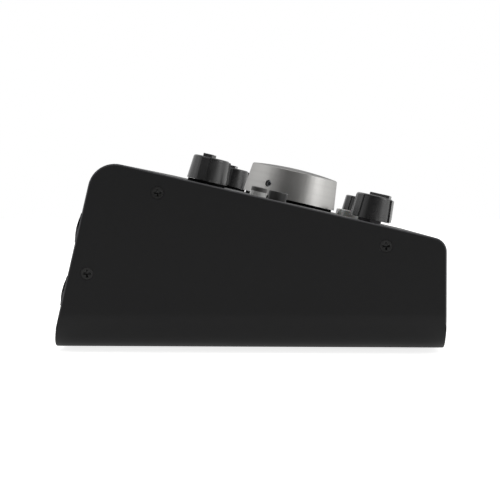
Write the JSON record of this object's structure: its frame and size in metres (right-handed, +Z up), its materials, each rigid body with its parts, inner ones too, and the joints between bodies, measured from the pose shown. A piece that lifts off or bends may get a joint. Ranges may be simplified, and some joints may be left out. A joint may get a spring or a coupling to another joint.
{
  "type": "studio monitor controller",
  "caption": "Wedge-shaped black steel desktop controller with a large aluminium level dial, small level knobs, push buttons and phone jacks.",
  "frame": {"origin": "centre of the footprint, on the surface that the feet stand on", "axes": "+X to the right along the width as seen from the front, -Y out of the front face, +Z up"},
  "size_m": [0.196, 0.17, 0.0856],
  "materials": {
    "black_steel": "satin",
    "zinc_steel": "satin",
    "nickel": "satin",
    "aluminium": "brushed",
    "soft_black": "matte",
    "black_plastic": "matte",
    "milky_plastic": "satin",
    "clear_plastic": "satin",
    "board_green": "satin",
    "grey_ribbon": "matte",
    "foot_rubber": "matte",
    "sleeve": "gloss"
  },
  "bodies": {
    "housing": {"base_shell": "black_steel", "wrap_cover": "black_steel", "rear_panel": "black_steel", "side_screws": "black_steel", "clinch_nuts": "zinc_steel", "rubber_feet": "foot_rubber", "main_board": "board_green", "board_spacers": "zinc_steel", "board_screws": "zinc_steel", "op_amp_chips": "black_plastic", "relays": "black_plastic", "capacitors": "sleeve", "main_pot": "black_plastic", "main_pot_washer": "zinc_steel", "main_pot_nut": "nickel", "dial_seat_ring": "black_plastic", "knob_seat_rings": "black_plastic", "level_pots": "black_plastic", "level_pot_washers": "zinc_steel", "level_pot_nuts": "nickel", "button_switches": "black_plastic", "button_lamps": "clear_plastic", "talkback_mic": "black_plastic", "rear_board": "board_green", "rear_jacks": "black_plastic", "rear_jack_nuts": "nickel", "phones_board": "board_green", "phones_jacks": "black_plastic", "phones_jack_nuts": "nickel", "usb_socket": "nickel", "usb_tongue": "clear_plastic", "power_inlet": "black_plastic", "power_inlet_pin": "nickel", "power_switch": "black_plastic", "ribbon_headers": "black_plastic", "rear_ribbon": "grey_ribbon", "phones_ribbon": "grey_ribbon"},
    "dial": {"main_dial": "aluminium", "dial_set_screw": "nickel", "main_pot_shaft": "aluminium"},
    "level_front_left": {"knob_front_left": "soft_black", "shaft_front_left": "aluminium"},
    "level_front_right": {"knob_front_right": "soft_black", "shaft_front_right": "aluminium"},
    "level_rear_left": {"knob_rear_left": "soft_black", "shaft_rear_left": "aluminium"},
    "level_rear_right": {"knob_rear_right": "soft_black", "shaft_rear_right": "aluminium"},
    "monitor_select_button_body": {"monitor_select_button": "milky_plastic"},
    "mono_button_body": {"mono_button": "milky_plastic"},
    "dim_button_body": {"dim_button": "milky_plastic"},
    "talkback_button_body": {"talkback_button": "milky_plastic"},
    "mute_button_left_body": {"mute_button_left": "black_plastic"},
    "cue_button_left_body": {"cue_button_left_cap": "black_plastic", "cue_button_left_collar": "clear_plastic"},
    "mute_button_right_body": {"mute_button_right": "black_plastic"},
    "cue_button_right_body": {"cue_button_right_cap": "black_plastic", "cue_button_right_collar": "clear_plastic"},
    "power_button_body": {"power_button": "black_plastic"}
  },
  "joints": [
    {"name": "dial_turn", "type": "hinge", "parent": "housing", "child": "dial", "pos_m": [0, -0.014, 0.06411], "axis": [0, 0.2267, -0.974], "range_deg": [-150, 150]},
    {"name": "knob_front_left_turn", "type": "hinge", "parent": "housing", "child": "level_front_left", "pos_m": [-0.078, -0.05072, 0.05557], "axis": [0, 0.2267, -0.974], "range_deg": [0, 324]},
    {"name": "knob_front_right_turn", "type": "hinge", "parent": "housing", "child": "level_front_right", "pos_m": [0.078, -0.05072, 0.05557], "axis": [0, 0.2267, -0.974], "range_deg": [0, 324]},
    {"name": "knob_rear_left_turn", "type": "hinge", "parent": "housing", "child": "level_rear_left", "pos_m": [-0.078, 0.02038, 0.07211], "axis": [0, 0.2267, -0.974], "range_deg": [-85, 239]},
    {"name": "knob_rear_right_turn", "type": "hinge", "parent": "housing", "child": "level_rear_right", "pos_m": [0.078, 0.02038, 0.07211], "axis": [0, 0.2267, -0.974], "range_deg": [-85, 239]},
    {"name": "monitor_select_button_press", "type": "slide", "parent": "housing", "child": "monitor_select_button_body", "axis": [0, 0.2267, -0.974], "range_m": [0, 0.0012], "stiffness_N_per_m": 600},
    {"name": "mono_button_press", "type": "slide", "parent": "housing", "child": "mono_button_body", "axis": [0, 0.2267, -0.974], "range_m": [0, 0.0012], "stiffness_N_per_m": 600},
    {"name": "dim_button_press", "type": "slide", "parent": "housing", "child": "dim_button_body", "axis": [0, 0.2267, -0.974], "range_m": [0, 0.0012], "stiffness_N_per_m": 600},
    {"name": "talkback_button_press", "type": "slide", "parent": "housing", "child": "talkback_button_body", "axis": [0, 0.2267, -0.974], "range_m": [0, 0.0012], "stiffness_N_per_m": 600},
    {"name": "mute_button_left_press", "type": "slide", "parent": "housing", "child": "mute_button_left_body", "axis": [0, 0.2267, -0.974], "range_m": [0, 0.0012], "stiffness_N_per_m": 600},
    {"name": "cue_button_left_press", "type": "slide", "parent": "housing", "child": "cue_button_left_body", "axis": [0, 0.2267, -0.974], "range_m": [0, 0.0012], "stiffness_N_per_m": 600},
    {"name": "mute_button_right_press", "type": "slide", "parent": "housing", "child": "mute_button_right_body", "axis": [0, 0.2267, -0.974], "range_m": [0, 0.0012], "stiffness_N_per_m": 600},
    {"name": "cue_button_right_press", "type": "slide", "parent": "housing", "child": "cue_button_right_body", "axis": [0, 0.2267, -0.974], "range_m": [0, 0.0012], "stiffness_N_per_m": 600},
    {"name": "power_button_press", "type": "slide", "parent": "housing", "child": "power_button_body", "axis": [0, -0.974, -0.2267], "range_m": [0, 0.0015], "stiffness_N_per_m": 600}
  ]
}
